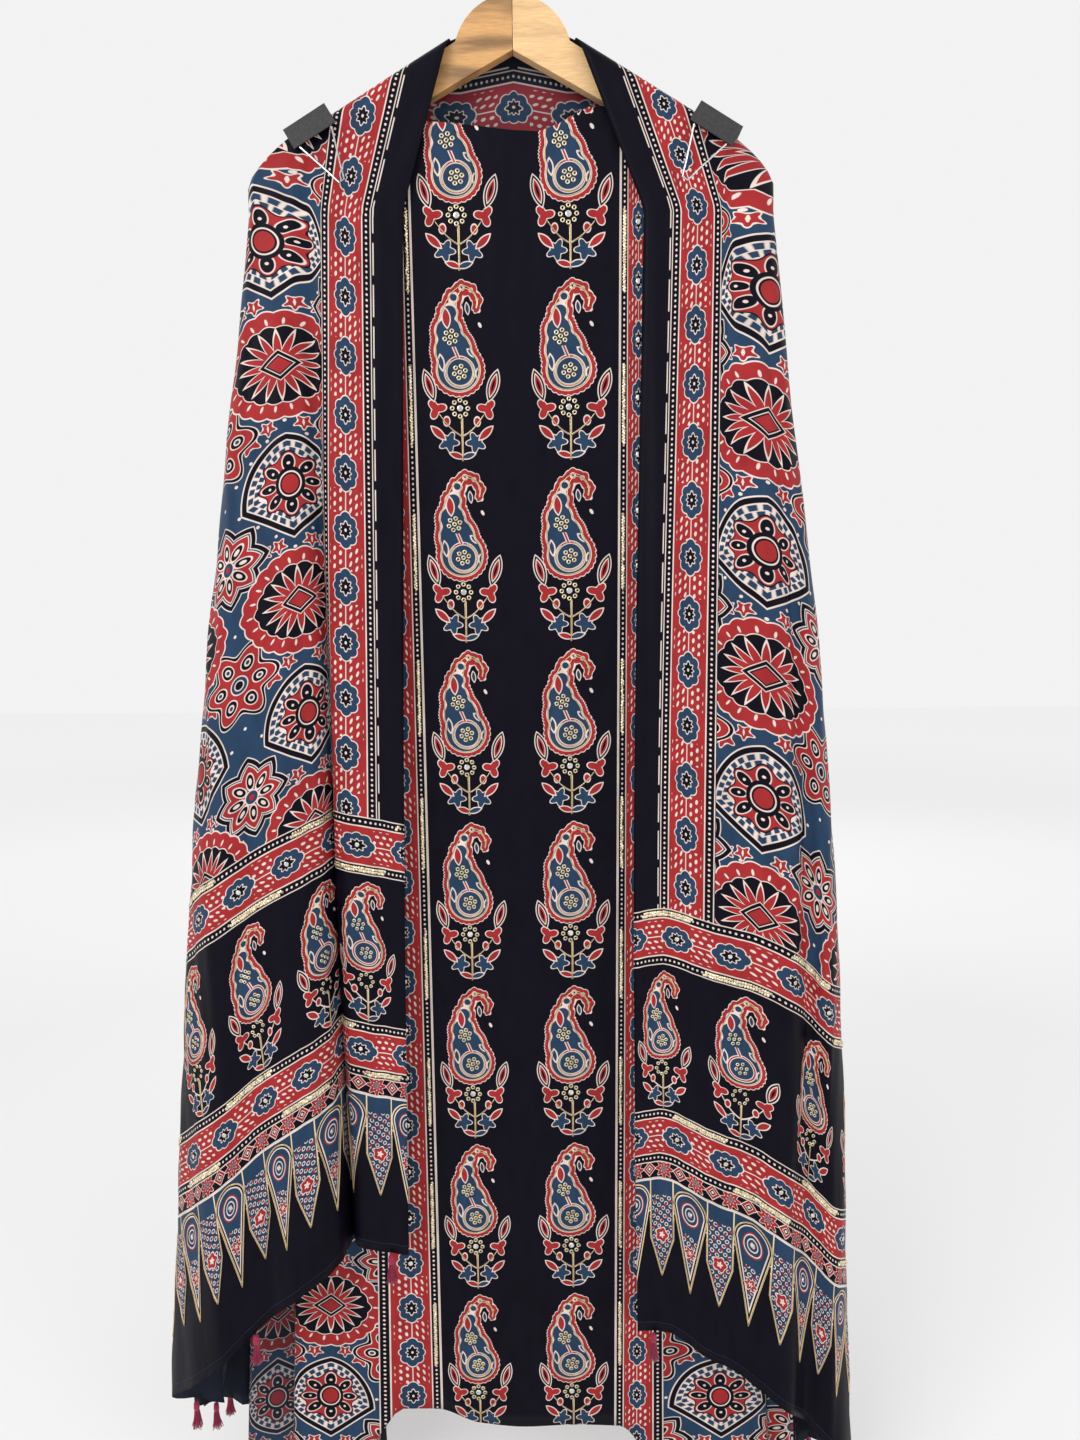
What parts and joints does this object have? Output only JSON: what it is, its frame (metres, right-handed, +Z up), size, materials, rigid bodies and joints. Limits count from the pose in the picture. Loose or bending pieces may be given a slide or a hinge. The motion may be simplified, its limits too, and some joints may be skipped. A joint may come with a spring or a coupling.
{
  "type": "ajrakh dress length and shawl on a wooden hanger",
  "caption": "Block-printed silk dress length folded over a wooden hanger, with a matching tasselled shawl draped over it and held by spring clips.",
  "frame": {"origin": "point inside the hook that rests on a rail", "axes": "+Z up, +Y towards the back of the hanging cloth, +X to the right as seen from the front"},
  "size_m": [0.6769, 0.1927, 1.5095],
  "materials": {
    "wood_pale": "satin varnish",
    "wood_brown": "satin varnish",
    "hook_steel": "bright",
    "clip_steel": "dark semi-gloss",
    "clip_wire": "bright",
    "dress_silk": "block-printed soft silk with embroidery",
    "shawl_silk": "block-printed soft silk",
    "tassel_thread": "matte thread"
  },
  "bodies": {
    "root": {"hanger_left_half": "wood_brown", "hanger_right_half": "wood_pale", "hanger_hook": "hook_steel", "dress_length": "dress_silk", "shawl": "shawl_silk", "clip_left": "clip_steel", "clip_right": "clip_steel", "clip_left_handle_front": "clip_wire", "clip_left_handle_back": "clip_wire", "clip_right_handle_front": "clip_wire", "clip_right_handle_back": "clip_wire", "tassel_left_1": "tassel_thread", "tassel_left_2": "tassel_thread", "tassel_left_3": "tassel_thread", "tassel_left_4": "tassel_thread", "tassel_left_5": "tassel_thread", "tassel_right_1": "tassel_thread", "tassel_right_2": "tassel_thread", "tassel_right_3": "tassel_thread", "tassel_right_4": "tassel_thread", "tassel_right_5": "tassel_thread"}
  },
  "joints": []
}
